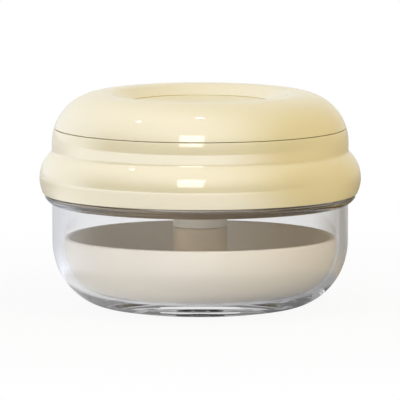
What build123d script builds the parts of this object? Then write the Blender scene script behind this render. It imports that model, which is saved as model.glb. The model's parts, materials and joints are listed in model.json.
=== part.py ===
from build123d import *
import os
from math import pi, sqrt

# Retainer cleaning case, in millimetres. +Z is up, and the origin is the centre of the bowl's
# foot, on the surface that the case stands on. Pressing the dished button in the lid drives a
# twisted rod through a nut, and so turns the basket half a turn in the clear bowl, and back.

# Clearances
running = 0.1  # a turning or sliding fit, on the radius
seat_gap = 0.3  # between faces that don't carry anything
seam_gap = 0.2  # the fine line between two shells
hole_play = 0.2  # a screw's clearance hole, on the radius
pilot_play = 0.05  # a screw in its pilot hole, on the radius
overcut = 1.0  # how far a cut runs past the face that it goes through
join = 0.2  # how far a boss sinks into the wall that it grows from

# Rounded edges
soft_edge = 0.5
seam_round = 0.2
skirt_round = 0.35  # the lid's lower edge
foot_round = 0.25
bead_round = 0.3
bowl_rim_round = 0.6
rim_edge = 0.25
bore_round = 0.3
post_fillet = 1.2
post_round = 0.8
collar_round = 0.4
edge_share = 0.45  # a fully rounded edge, as a share of its wall

# Widest point of the lid, which the radii below are stepped in from
bulge_radius = 50.0

# Bowl
rim_step = 1.7  # the bowl's rim, in from the lid's bulge
flare_reach = 2.3  # how far the rim stands out from the wall
bowl_wall = 2.5
bowl_base = 4.0
corner_width = 18.9  # the rounded corner is a quarter of an ellipse
corner_height = 20.7
inner_corner_width = 12.6  # and so is the corner inside
foot_height = 0.4
foot_step = 0.9  # the foot ring, in from the end of the corner
foot_width = 3.2
rim_height = 35.2
flare_height = 2.6
flare_sag = 0.2
rim_land = 0.6  # upright edge of the rim
spigot_radius = 2.4
spigot_height = 6.1
spigot_round = 1.4

# Pivot bush that the basket turns on
bush_wall = 1.4
bush_cap = 1.2
bush_flange_reach = 2.3
bush_flange = 0.8

# Basket
basket_gap = 0.5  # under the basket
basket_side_gap = 1.2  # round the basket
basket_wall = 1.6
basket_rise = 1.3  # straight rim above the rounded corner
post_radius = 8.4
post_rise = 3.0  # post above the basket's rim
post_foot_reach = 3.3
post_foot = 1.3
drain_radius = 1.5
drain_edge = 4.0  # from the post's foot, or the rounded corner, to a ring of drain holes
drain_step = 5.5  # between the rings of drain holes
drain_pitch = 9.5  # between drain holes along a ring
hub_boss_wall = 1.4
hub_boss_roof = 2.6

# Lid's outer shells
shell = 2.4
rim_show = 0.6  # between the bowl's rim and the lid's lower edge
neck_step = 3.85  # the straight neck, in from the bulge
dome_round = 15.5  # the lid's round top, in section
dome_sink = 4.4  # the centre of that round, below the seam
bulge_rise = 4.8  # the widest point, above the lid's lower edge
bulge_round = 10.5
crease_round = 1.5
collar_lip = 2.0
seam_rise = 0.8  # the seam, above the shelf
recess_edge = 3.4  # the recess's edge, in from the crest
recess_width = 5.0  # from that edge in to the button's bore
recess_depth = 2.9
recess_round = 1.5
web = 2.0  # shelf inside the collar that the screws go through
web_gap = 1.4
tower_radius = 3.0
boss_radius = 3.2
lip_height = 0.7

# Inner lid and its seal
flange_step = 0.5  # the inner lid's flange, in from the bowl's outer wall
flange = 1.2
plate = 2.0
plug_depth = 2.9  # how far the plug reaches below the bowl's rim
bead_play = 0.4
bead_height = 0.9
plug_play = 1.35
plug_wall = 1.65
seal_flange = 0.8
seal_play = 0.25
seal_step = 0.2  # the seal's flange, in from the inner lid's

# Drive hub, its bush and shaft seal
hub_wall = 2.4
rod_play = 0.6  # hub's bore round the rod
hub_flange_reach = 1.65
hub_flange = 3.0
hub_floor = 2.4  # closed end of the spigot
drive_wall = 1.2  # hexagon's wall over its flats
drive_reach = 8.0  # how far the hexagon goes into the post
sleeve_wall = 1.85
sleeve_flange = 0.7
shaft_seal_height = 1.7
seal_lip = 0.5  # thickness of the shaft seal's two lips
boss_drop = 1.8  # how far the bearing boss reaches below the plate
boss_wall = 2.5

# Twisted rod and nut
rod_radius = 3.0
strip = 2.4  # thickness of the twisted strip
lead = 16.0  # travel for one full turn
travel = 8.0  # the button's stroke, half a turn of the basket
nut_wall = 1.94
nut_height = 2.6
nut_cap = 1.0
nut_cap_wall = 1.0
strip_steps = 24  # sections of the strip in one turn
slot_play = 0.16
rod_tail = 1.4  # strip below the nut at rest
rod_spare = 1.0  # strip above the nut when pressed

# Button
button_set = 0.2  # button's edge, below the recess
dish_depth = 0.9
button_play = 0.2
cap_thickness = 2.0
cap_wall = 1.7
cap_round = 0.4
tube_wall = 1.6  # guide tube of the top cover
plunger_disc = 2.0
plunger_wall = 1.7
stop_flange = 1.4
stop_room = 0.5  # left under the plunger's flange when pressed
lug_hold = 0.6  # how deep the lugs stand in their slots at rest
lug_width = 4.0
lug_reach = 1.3
lug_play = 0.3
lugs = 4
rod_boss_wall = 2.15
rod_flat = 2.4
cap_boss_radius = 2.6
cap_skin = 0.6  # left over the cap's bosses, under the dish
rod_seat = 0.5  # how far the rod goes into the plunger's disc

# Guide cage
cage_wall = 1.8
cage_floor = 1.8
cage_flange = 2.0
cage_screw_room = 1.3  # from the cage's wall to a screw's head
cage_flange_edge = 0.9  # flange outside a screw's head
cage_hole_play = 1.2
cage_play = 0.5  # between the cover's tube and the cage

# Return spring
spring_room = 1.4  # between the spring and the rod's boss
wire = 0.8
spring_turns = 5

# Screws
screw_radius = 1.25
head_radius = 2.6
head_height = 1.3
head_round = 0.8
tip_radius = 0.4
drive_recess = 0.6  # width of the cross in a screw's head
drive_width = 2.9
cover_screw_length = 10.0
lid_screw_length = 9.0
cap_screw_length = 4.6
rod_screw_length = 7.0
screws = 4
cap_screws = 3

# Radii that follow from the sizes above
rim_radius = bulge_radius - rim_step
wall_radius = rim_radius - flare_reach
neck_radius = bulge_radius - neck_step
crest_radius = neck_radius - dome_round  # and the centre of the round
bulge_centre = bulge_radius - bulge_round
bowl_inside = wall_radius - bowl_wall
corner_radius = wall_radius - corner_width  # where the flat base ends
inner_corner_radius = bowl_inside - inner_corner_width
foot_radius = corner_radius - foot_step
bush_bore = spigot_radius + running
bush_radius = bush_bore + bush_wall
bush_flange_radius = bush_radius + bush_flange_reach
post_foot_radius = post_radius + post_foot_reach
flange_radius = wall_radius - flange_step
seal_flange_radius = flange_radius - seal_step
seal_lip_radius = bowl_inside - seal_play
bead_radius = bowl_inside - bead_play
plug_radius = bowl_inside - plug_play
collar_lip_radius = flange_radius + seam_gap
tower_circle = plug_radius - plug_wall - 2 * seat_gap - head_radius
recess_radius = crest_radius - recess_edge
bore_radius = recess_radius - recess_width
stop_radius = bore_radius + tube_wall
cage_inside = stop_radius + cage_play
cage_outside = cage_inside + cage_wall
boss_circle = cage_outside + cage_screw_room + head_radius
cage_flange_radius = boss_circle + head_radius + cage_flange_edge
web_radius = cage_outside + web_gap
button_radius = bore_radius - button_play
plunger_radius = button_radius - cap_wall - pilot_play
hub_bore = rod_radius + rod_play
hub_radius = hub_bore + hub_wall
sleeve_radius = hub_radius + running + sleeve_wall
hub_flange_radius = sleeve_radius + hub_flange_reach
drive_flats = 2 * (hub_bore + drive_wall)  # across the flats of the hexagon that turns the basket
nut_flats = 2 * (rod_radius + slot_play + nut_wall)
rod_boss_radius = rod_radius + pilot_play + rod_boss_wall
cage_hole = rod_radius + cage_hole_play
spring_radius = rod_boss_radius + spring_room + wire / 2
spring_outside = spring_radius + wire / 2
cap_screw_circle = (spring_outside + plunger_radius - plunger_wall) / 2  # midway from spring to wall

# Levels that follow from the sizes above
floor_height = foot_height + bowl_base
corner_top = foot_height + corner_height
tray_floor = floor_height + basket_gap + basket_wall
basket_height = corner_top + basket_rise
bush_top = floor_height + spigot_height + running + bush_cap
hub_boss_top = bush_top + running + hub_boss_roof
post_top = basket_height + post_rise
spigot_end = post_top - drive_reach
post_socket_bottom = spigot_end - 2 * seat_gap
collar_low = post_top + seat_gap
plug_bottom = rim_height - plug_depth
lid_flange_bottom = rim_height + seal_flange
lid_flange_top = lid_flange_bottom + flange
plate_bottom = lid_flange_top - plate
boss_bottom = plate_bottom - boss_drop
hub_flange_bottom = lid_flange_top + sleeve_flange + running
hub_top = hub_flange_bottom + hub_flange
nut_bottom = hub_top - nut_height
rod_end = nut_bottom - rod_tail
strip_top = hub_top + travel + rod_spare
cage_bottom = hub_top + nut_cap + seat_gap
cage_top = cage_bottom + cage_floor
stop_bottom = cage_top + travel + stop_room
stop_height = stop_bottom + stop_flange
web_height = stop_bottom + lug_hold
web_top = web_height + web
collar_bottom = rim_height + rim_show
bulge_height = collar_bottom + bulge_rise
seam_height = web_top + seam_rise
cover_bottom = seam_height + seam_gap
dome_level = seam_height - dome_sink
crest_height = dome_level + dome_round
recess_bottom = crest_height - recess_depth
button_top = recess_bottom - button_set
disc_top = button_top - dish_depth - cap_thickness - head_height - seat_gap
disc_height = disc_top - plunger_disc
rod_top = disc_height + rod_seat

UPRIGHT = (Align.CENTER, Align.CENTER, Align.MIN)


def disc(radius, low, high):
    """A round bar about Z between two heights."""
    return Pos(0, 0, low) * Cylinder(radius, high - low, align=UPRIGHT)


def ring(outer, inner, low, high):
    """A tube about Z between two heights."""
    return disc(outer, low, high) - disc(inner, low, high)


def hexagon(flats, low, high):
    """A six-sided bar about Z, measured across its flats."""
    outline = RegularPolygon(flats / 2, 6, major_radius=False)
    return Pos(0, 0, low) * extrude(outline, high - low)


def chain(*points):
    """Straight edges through points of (radius, height)."""
    return [Line(a, b) for a, b in zip(points, points[1:])]


def ellipse_arc(centre, width, height, start, end):
    """A stretch of an upright ellipse, between two angles in degrees."""
    return EllipticalCenterArc(centre, width, height, start, arc_size=end - start)


def turned(*edges):
    """A solid of revolution about Z from a closed outline of (radius, height)."""
    return revolve(Plane.XZ * make_face(list(edges)), Axis.Z)


def around(count, radius, first=0.0):
    """Places evenly round a circle about Z, each turned to face outwards."""
    return [Rot(0, 0, first + 360 * n / count) * Pos(radius, 0, 0) for n in range(count)]


def joined(shapes):
    """Shapes that stay separate solids in one group."""
    return Compound(children=list(shapes))


def rims(shape, radius, height, slack=0.02):
    """The circular edges of a radius at a height."""
    found = []
    for edge in shape.edges().filter_by(GeomType.CIRCLE):
        centre = edge.arc_center
        level = abs(centre.Z - height) < slack
        central = abs(centre.X) < slack and abs(centre.Y) < slack
        if level and central and abs(edge.radius - radius) < slack:
            found.append(edge)
    return found


def rounded(shape, size, *places):
    """Rounds the circular edges at places of (radius, height)."""
    edges = [edge for radius, height in places for edge in rims(shape, radius, height)]
    return fillet(edges, size)


def pan_screw(length, head_up=False):
    """A pan-head screw with its seat at the origin, shank up, or down if its head is up."""
    shank_end = length - screw_radius
    shank = disc(screw_radius, 0, shank_end)
    tip = Pos(0, 0, shank_end) * Cone(screw_radius, tip_radius, screw_radius, align=UPRIGHT)
    head = disc(head_radius, -head_height, 0)
    head = rounded(head, head_round, (head_radius, -head_height))
    slot = Box(drive_width, drive_recess, 2 * drive_recess)
    cross = slot + Rot(0, 0, 90) * slot
    screw = head + shank + tip - Pos(0, 0, -head_height) * cross
    return Rot(180, 0, 0) * screw if head_up else screw


def outer_bowl():
    """Clear bowl with a thick wall, a foot ring, a flared rim and a spigot for the basket."""
    flare_low = rim_height - flare_height
    outside = chain(
        (0, foot_height),
        (foot_radius - foot_width, foot_height),
        (foot_radius - foot_width, 0),
        (foot_radius, 0),
        (foot_radius, foot_height),
        (corner_radius, foot_height),
    )
    corner = ellipse_arc((corner_radius, corner_top), corner_width, corner_height, 270, 360)
    wall = Line((wall_radius, corner_top), (wall_radius, flare_low))
    flare = SagittaArc((wall_radius, flare_low), (rim_radius, rim_height - rim_land), -flare_sag)
    rim = chain(
        (rim_radius, rim_height - rim_land),
        (rim_radius, rim_height),
        (bowl_inside, rim_height),
        (bowl_inside, corner_top),
    )
    inner_centre = (inner_corner_radius, corner_top)
    inner_corner = ellipse_arc(inner_centre, inner_corner_width, corner_top - floor_height, 270, 360)
    inside = chain(
        (inner_corner_radius, floor_height),
        (spigot_radius, floor_height),
        (spigot_radius, floor_height + spigot_height),
        (0, floor_height + spigot_height),
        (0, foot_height),
    )
    bowl = turned(*outside, corner, wall, flare, *rim, inner_corner, *inside)
    bowl = rounded(bowl, foot_round, (foot_radius, 0), (foot_radius - foot_width, 0))
    bowl = rounded(bowl, bowl_rim_round, (bowl_inside, rim_height))
    bowl = rounded(bowl, rim_edge, (rim_radius, rim_height))
    return rounded(bowl, spigot_round, (spigot_radius, floor_height + spigot_height))


def pivot_bush():
    """Cup that turns on the bowl's spigot and carries the basket on its flange."""
    flange_top = floor_height + bush_flange
    cup = disc(bush_radius, floor_height, bush_top) + disc(bush_flange_radius, floor_height, flange_top)
    cup -= disc(bush_bore, floor_height, bush_top - bush_cap)
    return rounded(cup, soft_edge, (bush_radius, bush_top))


def basket_tray():
    """Open basket that follows the bowl's inside, with drain holes in its floor."""
    width = inner_corner_width - basket_side_gap
    low = floor_height + basket_gap
    height = corner_top - low
    radius = bowl_inside - basket_side_gap
    centre = (inner_corner_radius, corner_top)
    outside = [
        Line((0, low), (inner_corner_radius, low)),
        ellipse_arc(centre, width, height, 270, 360),
        *chain((radius, corner_top), (radius, basket_height)),
    ]
    inside = [
        *chain((radius, basket_height), (radius - basket_wall, basket_height)),
        *chain((radius - basket_wall, basket_height), (radius - basket_wall, corner_top)),
        ellipse_arc(centre, width - basket_wall, height - basket_wall, 270, 360),
        *chain((inner_corner_radius, tray_floor), (0, tray_floor), (0, low)),
    ]
    tray = turned(*outside, *inside)
    rim = ((radius, basket_height), (radius - basket_wall, basket_height))
    tray = rounded(tray, basket_wall * edge_share, *rim)
    boss_outside = bush_radius + running + hub_boss_wall
    tray += disc(boss_outside, tray_floor - join, hub_boss_top)
    tray -= disc(bush_flange_radius + seat_gap, low, floor_height + bush_flange + running)
    tray -= disc(bush_radius + running, low, bush_top + running)
    hole = disc(drain_radius, low - overcut, tray_floor + overcut)
    ring_radius = post_foot_radius + drain_edge
    while ring_radius + drain_edge <= inner_corner_radius:
        count = round(2 * pi * ring_radius / drain_pitch)
        tray -= [place * hole for place in around(count, ring_radius)]
        ring_radius += drain_step
    return tray


def basket_post():
    """Post over the tray's boss, with a six-sided socket in its top for the drive."""
    post = disc(post_radius, tray_floor, post_top)
    post += disc(post_foot_radius, tray_floor, tray_floor + post_foot)
    post = rounded(post, post_fillet, (post_radius, tray_floor + post_foot))
    post = rounded(post, post_round, (post_radius, post_top))
    post = rounded(post, soft_edge, (post_foot_radius, tray_floor + post_foot))
    boss_space = bush_radius + running + hub_boss_wall + pilot_play
    post -= disc(boss_space, tray_floor, hub_boss_top + seat_gap)
    return post - hexagon(drive_flats + 2 * hole_play, post_socket_bottom, post_top)


def bars(places, radius, low, high):
    """Round bars along Z at places, to add as bosses or to cut as holes."""
    return [place * disc(radius, low, high) for place in places]


def through(places, low, high):
    """Clearance holes for screws, past both faces of a wall."""
    return bars(places, screw_radius + hole_play, low - overcut, high + overcut)


def cover_places():
    """Where the four screws of the top cover stand."""
    return around(screws, boss_circle)


def lid_places():
    """Where the four screws of the inner lid stand."""
    return around(screws, tower_circle, first=180 / screws)


def dome_reach(radius, height):
    """Distance from the axis, at a height, of a round about the dome's centre."""
    return crest_radius + sqrt(radius**2 - (height - dome_level) ** 2)


def lid_collar():
    """Lower lid shell: rounded bulge, neck that curves in, a shelf and four screw towers."""
    crease = bulge_height + sqrt(bulge_round**2 - (neck_radius - bulge_centre) ** 2)
    foot = bulge_centre + sqrt(bulge_round**2 - (bulge_height - collar_bottom) ** 2)
    inner_round = bulge_round - shell
    neck_inside = neck_radius - shell
    inner_crease = bulge_height + sqrt(inner_round**2 - (neck_inside - bulge_centre) ** 2)
    lip_top = collar_bottom + collar_lip
    lip_inside = bulge_centre + sqrt(inner_round**2 - (bulge_height - lip_top) ** 2)
    middle = (dome_level + seam_height) / 2
    middle_reach = dome_reach(dome_round, middle)
    seam_reach = dome_reach(dome_round, seam_height)
    outside = [
        Line((collar_lip_radius, collar_bottom), (foot, collar_bottom)),
        ThreePointArc((foot, collar_bottom), (bulge_radius, bulge_height), (neck_radius, crease)),
        Line((neck_radius, crease), (neck_radius, dome_level)),
        ThreePointArc((neck_radius, dome_level), (middle_reach, middle), (seam_reach, seam_height)),
    ]
    shelf = chain(
        (seam_reach, seam_height),
        (neck_inside, seam_height),
        (neck_inside, web_top),
        (web_radius, web_top),
        (web_radius, web_height),
        (neck_inside, web_height),
        (neck_inside, inner_crease),
    )
    inside = [
        ThreePointArc(
            (neck_inside, inner_crease),
            (bulge_centre + inner_round, bulge_height),
            (lip_inside, lip_top),
        ),
        *chain((lip_inside, lip_top), (collar_lip_radius, lip_top), (collar_lip_radius, collar_bottom)),
    ]
    collar = turned(*outside, *shelf, *inside)
    collar = rounded(collar, crease_round, (neck_radius, crease))
    collar = rounded(collar, seam_round, (seam_reach, seam_height))
    collar = rounded(collar, skirt_round, (foot, collar_bottom))
    collar += bars(lid_places(), tower_radius, lid_flange_top, web_top)
    pilot_end = lid_flange_top + lid_screw_length
    collar -= bars(lid_places(), screw_radius + pilot_play, lid_flange_top - overcut, pilot_end)
    return collar - through(cover_places(), web_height, web_top)


def top_cover():
    """Ring-shaped lid top with a round recess and the tube that guides the button."""
    tube_bottom = stop_height + seat_gap
    roof = crest_height - shell
    inner_round = dome_round - shell
    start = dome_reach(dome_round, cover_bottom)
    inner_start = dome_reach(inner_round, cover_bottom)
    edge_height = dome_level + sqrt(dome_round**2 - recess_edge**2)
    inner_edge = dome_level + sqrt(inner_round**2 - recess_edge**2)
    slope = (edge_height - recess_bottom) / recess_width
    outside = [
        ThreePointArc((start, cover_bottom), (crest_radius, crest_height), (recess_radius, edge_height)),
        Line((recess_radius, edge_height), (bore_radius, recess_bottom)),
    ]
    tube = chain(
        (bore_radius, recess_bottom),
        (bore_radius, tube_bottom),
        (stop_radius, tube_bottom),
        (stop_radius, recess_bottom + slope * tube_wall - shell),
        (recess_radius, inner_edge),
    )
    inside = ThreePointArc((recess_radius, inner_edge), (crest_radius, roof), (inner_start, cover_bottom))
    edge = Line((inner_start, cover_bottom), (start, cover_bottom))
    cover = turned(*outside, *tube, inside, edge)
    cover = rounded(cover, seam_round, (start, cover_bottom))
    cover = rounded(cover, recess_round, (recess_radius, edge_height))
    cover = rounded(cover, bore_round, (bore_radius, recess_bottom))
    cover += bars(cover_places(), boss_radius, web_top, roof)
    lip_outside = neck_radius - shell - seam_gap
    cover += ring(lip_outside, lip_outside - shell, web_top + seam_gap, cover_bottom + lip_height)
    pilot_end = web_height - cage_flange + cover_screw_length
    return cover - bars(cover_places(), screw_radius + pilot_play, web_top - overcut, pilot_end)


def guide_cage():
    """Cup under the shelf: its slots keep the plunger from turning and its floor seats the spring."""
    flange_low = web_height - cage_flange
    cage = ring(cage_outside, cage_inside, cage_bottom, web_height)
    cage += ring(cage_flange_radius, cage_inside, flange_low, web_height)
    cage += ring(cage_outside, cage_hole, cage_bottom, cage_top)
    collar_radius = spring_radius - wire / 2 - running
    cage += ring(collar_radius, cage_hole, cage_top, cage_top + wire)
    slot_width = lug_width + 2 * lug_play
    slot = Box(2 * cage_wall, slot_width, web_height + overcut - cage_top, align=UPRIGHT)
    cage -= [place * Pos(0, 0, cage_top) * slot for place in lug_places(cage_inside)]
    cage -= bars(lid_places(), tower_radius + seat_gap, flange_low - overcut, web_height + overcut)
    return cage - through(cover_places(), flange_low, web_height)


def lug_places(radius):
    """Where the plunger's lugs stand, between the screws."""
    return around(lugs, radius, first=180 / lugs)


def cover_screws():
    """Four screws up through the cage's flange and the shelf into the top cover."""
    screw = Pos(0, 0, web_height - cage_flange) * pan_screw(cover_screw_length)
    return joined(place * screw for place in cover_places())


def inner_lid():
    """Plate that closes the lid from below, with the plug that goes into the bowl."""
    boss_outside = sleeve_radius + boss_wall
    bead_top = plug_bottom + bead_height
    body = turned(
        *chain(
            (sleeve_radius, lid_flange_top),
            (flange_radius, lid_flange_top),
            (flange_radius, lid_flange_bottom),
            (plug_radius, lid_flange_bottom),
            (plug_radius, bead_top),
            (bead_radius, bead_top),
            (bead_radius, plug_bottom),
            (plug_radius - plug_wall, plug_bottom),
            (plug_radius - plug_wall, plate_bottom),
            (boss_outside, plate_bottom),
            (boss_outside, boss_bottom),
            (sleeve_radius, boss_bottom),
            (sleeve_radius, lid_flange_top),
        )
    )
    body = rounded(body, bead_round, (bead_radius, plug_bottom), (bead_radius, bead_top))
    body = rounded(body, soft_edge, (boss_outside, boss_bottom))
    return body - through(lid_places(), plate_bottom, lid_flange_top)


def lid_seal():
    """Soft ring between the plug's bead and its flange, which sits on the bowl's rim."""
    inside = plug_radius + pilot_play
    low = plug_bottom + bead_height + pilot_play
    seal = turned(
        *chain(
            (inside, low),
            (seal_lip_radius, low),
            (seal_lip_radius, rim_height),
            (seal_flange_radius, rim_height),
            (seal_flange_radius, lid_flange_bottom),
            (inside, lid_flange_bottom),
            (inside, low),
        )
    )
    return rounded(seal, bead_round, (seal_lip_radius, low))


def inner_lid_screws():
    """Four screws up through the inner lid into the collar's towers."""
    screw = Pos(0, 0, plate_bottom) * pan_screw(lid_screw_length)
    return joined(place * screw for place in lid_places())


def hub_bush():
    """Flanged bush that the drive hub turns in."""
    inside = hub_radius + running
    low = boss_bottom + shaft_seal_height + running
    bush = ring(sleeve_radius - pilot_play, inside, low, lid_flange_top)
    return bush + ring(hub_flange_radius, inside, lid_flange_top, lid_flange_top + sleeve_flange)


def shaft_seal():
    """Soft ring that keeps the cleaning water out of the lid."""
    outside = sleeve_radius - pilot_play
    inside = hub_radius + running
    seal = ring(outside, inside, boss_bottom, boss_bottom + shaft_seal_height)
    groove_end = boss_bottom + shaft_seal_height / 2
    return seal - ring(outside - seal_lip, inside + seal_lip, boss_bottom - overcut, groove_end)


def drive_hub():
    """Hollow hub with a closed six-sided spigot below and a pocket for the nut above."""
    hub = disc(hub_flange_radius, hub_flange_bottom, hub_top)
    hub += disc(hub_radius, collar_low, hub_flange_bottom)
    hub += hexagon(drive_flats, spigot_end, collar_low)
    hub -= disc(hub_bore, spigot_end + hub_floor, hub_top)
    return hub - hexagon(nut_flats + 2 * running, nut_bottom, hub_top)


def hub_collar():
    """Ring pressed on the hub from below, flush with the post that it meets."""
    high = boss_bottom - seat_gap
    collar = ring(post_radius, hub_radius + pilot_play, collar_low, high)
    return rounded(collar, collar_round, (post_radius, collar_low), (post_radius, high))


def strip_turn(height):
    """How far the twisted strip has turned at a height, in degrees."""
    return 360 * (height - rod_end) / lead


def twisted_bar(width, thickness, low, high):
    """A flat bar, twisted about Z with the rod's lead, as one loft through turned sections."""
    steps = max(2, round((high - low) / lead * strip_steps))
    section = Rectangle(width, thickness)
    heights = [low + (high - low) * n / steps for n in range(steps + 1)]
    return loft([Pos(0, 0, z) * Rot(0, 0, strip_turn(z)) * section for z in heights], ruled=True)


def helix_nut():
    """Six-sided nut whose slot follows the twisted strip."""
    nut = hexagon(nut_flats, nut_bottom, hub_top)
    width = 2 * (rod_radius + slot_play)
    thickness = strip + 2 * slot_play
    return nut - twisted_bar(width, thickness, nut_bottom - overcut, hub_top + overcut)


def nut_retainer():
    """Snap-on cap that holds the nut down in the hub."""
    outside = hub_flange_radius + pilot_play + nut_cap_wall
    cap = ring(outside, hub_bore + seat_gap, hub_top, hub_top + nut_cap)
    return cap + ring(outside, hub_flange_radius + pilot_play, hub_top - hub_flange / 2, hub_top)


def twist_rod():
    """Rod whose lower part is a twisted strip and whose top is fixed in the plunger."""
    blade = twisted_bar(2 * rod_radius, strip, rod_end, strip_top)
    blade &= disc(rod_radius, rod_end, strip_top)
    shank = disc(rod_radius, strip_top, rod_top) - Pos(rod_flat, 0, strip_top) * flat_cutter()
    pilot_end = disc_top - rod_screw_length - seat_gap
    pilot = disc(screw_radius + pilot_play, pilot_end, rod_top)
    return blade + shank - pilot


def flat_cutter():
    """Block that cuts the rod's flat side, from x = 0 outwards."""
    side = 4 * rod_radius
    return Box(side, side, 4 * side, align=(Align.MIN, Align.CENTER, Align.MIN))


def button_plunger():
    """Carrier under the button: stop flange, four lugs and the boss that holds the rod."""
    wall_inside = plunger_radius - plunger_wall
    plunger = disc(plunger_radius, disc_height, disc_top)
    plunger += ring(plunger_radius, wall_inside, stop_bottom, disc_top)
    plunger += ring(stop_radius, wall_inside, stop_bottom, stop_height)
    lug = Box(2 * lug_reach, lug_width, stop_flange, align=UPRIGHT)
    plunger += [place * Pos(0, 0, stop_bottom) * lug for place in lug_places(stop_radius)]
    boss_low = cage_top + wire + travel + seat_gap
    plunger += disc(rod_boss_radius, boss_low, disc_height)
    socket = disc(rod_radius + pilot_play, boss_low - overcut, rod_top)
    socket -= Pos(rod_flat + pilot_play, 0, boss_low - overcut) * flat_cutter()
    plunger -= socket
    plunger -= disc(screw_radius + hole_play, rod_top, disc_top)
    return plunger - bars(cap_places(), screw_radius + hole_play, disc_height, disc_top)


def cap_places():
    """Where the three screws of the button's cap stand."""
    return around(cap_screws, cap_screw_circle, first=90)


def button_cap():
    """Dished round button with a skirt that slides in the cover's tube."""
    edge = button_radius
    dish = button_top - dish_depth
    skirt = chain(
        (edge, button_top),
        (edge, stop_height),
        (edge - cap_wall, stop_height),
        (edge - cap_wall, button_top - cap_thickness),
        (0, dish - cap_thickness),
        (0, dish),
    )
    cap = turned(RadiusArc((0, dish), (edge, button_top), -dish_round()), *skirt)
    cap = rounded(cap, cap_round, (edge, button_top))
    cap += bars(cap_places(), cap_boss_radius, disc_top, dish - cap_skin)
    pilot_end = disc_height + cap_screw_length
    return cap - bars(cap_places(), screw_radius + pilot_play, disc_top - overcut, pilot_end)


def dish_round():
    """Radius of the ball that the dish is a part of."""
    return (button_radius**2 + dish_depth**2) / (2 * dish_depth)


def button_screws():
    """Three screws up through the plunger into the button's cap."""
    screw = Pos(0, 0, disc_height) * pan_screw(cap_screw_length)
    return joined(place * screw for place in cap_places())


def rod_screw():
    """Screw down through the plunger into the rod."""
    return Pos(0, 0, disc_top) * pan_screw(rod_screw_length, head_up=True)


def return_spring():
    """Compression spring between the cage's floor and the plunger's disc."""
    height = disc_height - cage_top - wire
    path = Pos(0, 0, cage_top + wire / 2) * Helix(height / spring_turns, height, spring_radius)
    section = Plane(origin=path @ 0, z_dir=path % 0) * Circle(wire / 2)
    return sweep(section, path, is_frenet=True)


PARTS = {
    "outer_bowl": outer_bowl,
    "pivot_bush": pivot_bush,
    "basket_tray": basket_tray,
    "basket_post": basket_post,
    "lid_collar": lid_collar,
    "top_cover": top_cover,
    "guide_cage": guide_cage,
    "cover_screws": cover_screws,
    "inner_lid": inner_lid,
    "lid_seal": lid_seal,
    "inner_lid_screws": inner_lid_screws,
    "hub_bush": hub_bush,
    "shaft_seal": shaft_seal,
    "drive_hub": drive_hub,
    "hub_collar": hub_collar,
    "helix_nut": helix_nut,
    "nut_retainer": nut_retainer,
    "twist_rod": twist_rod,
    "button_plunger": button_plunger,
    "button_cap": button_cap,
    "button_screws": button_screws,
    "rod_screw": rod_screw,
    "return_spring": return_spring,
}

os.makedirs("parts", exist_ok=True)
for name, make in PARTS.items():
    export_step(make(), f"parts/{name}.step")
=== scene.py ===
"""Looks of the retainer cleaning case: finely turned shells, satin plastics and a clear bowl."""
import json
import math

import bmesh
import bpy
from mathutils import Matrix, Vector

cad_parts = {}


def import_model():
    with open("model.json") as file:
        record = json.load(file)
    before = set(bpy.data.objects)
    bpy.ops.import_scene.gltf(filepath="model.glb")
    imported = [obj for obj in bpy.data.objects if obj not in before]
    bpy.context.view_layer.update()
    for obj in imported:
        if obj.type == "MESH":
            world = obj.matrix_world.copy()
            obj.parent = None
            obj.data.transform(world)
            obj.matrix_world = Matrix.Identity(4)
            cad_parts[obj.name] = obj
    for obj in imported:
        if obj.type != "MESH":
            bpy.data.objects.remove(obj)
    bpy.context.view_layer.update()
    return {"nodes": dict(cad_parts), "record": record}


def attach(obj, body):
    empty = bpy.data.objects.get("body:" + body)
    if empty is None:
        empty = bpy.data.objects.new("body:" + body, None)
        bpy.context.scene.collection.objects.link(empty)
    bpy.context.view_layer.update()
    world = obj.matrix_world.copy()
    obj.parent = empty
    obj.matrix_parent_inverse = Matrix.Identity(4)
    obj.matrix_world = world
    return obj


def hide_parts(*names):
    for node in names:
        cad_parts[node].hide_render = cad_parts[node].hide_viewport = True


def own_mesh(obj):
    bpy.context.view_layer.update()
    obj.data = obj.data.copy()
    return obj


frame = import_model()

MM = 0.001

# Widest point of the lid, which the radii below are stepped in from
bulge_radius = 50.0 * MM

# Clearances
running = 0.1 * MM
seat_gap = 0.3 * MM
seam_gap = 0.2 * MM
pilot_play = 0.05 * MM
hole_play = 0.2 * MM

# Bowl
rim_step = 1.7 * MM
flare_reach = 2.3 * MM
bowl_wall = 2.5 * MM
bowl_base = 4.0 * MM
corner_width = 18.9 * MM
corner_height = 20.7 * MM
inner_corner_width = 12.6 * MM
foot_height = 0.4 * MM
foot_step = 0.9 * MM
foot_width = 3.2 * MM
rim_height = 35.2 * MM
flare_height = 2.6 * MM
flare_sag = 0.2 * MM
rim_land = 0.6 * MM  # upright edge of the rim
spigot_radius = 2.4 * MM
spigot_height = 6.1 * MM

# Tray and post
basket_side_gap = 1.2 * MM
basket_gap = 0.5 * MM
basket_wall = 1.6 * MM
basket_rise = 1.3 * MM
bush_wall = 1.4 * MM
bush_cap = 1.2 * MM
bush_flange_reach = 2.3 * MM
bush_flange = 0.8 * MM
hub_boss_wall = 1.4 * MM
hub_boss_roof = 2.6 * MM
drain_radius = 1.5 * MM
drain_edge = 4.0 * MM
drain_step = 5.5 * MM
drain_pitch = 9.5 * MM
post_radius = 8.4 * MM
post_rise = 3.0 * MM
post_foot_reach = 3.3 * MM
post_foot = 1.3 * MM
socket_flats = 10.0 * MM
drive_reach = 8.0 * MM

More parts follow.
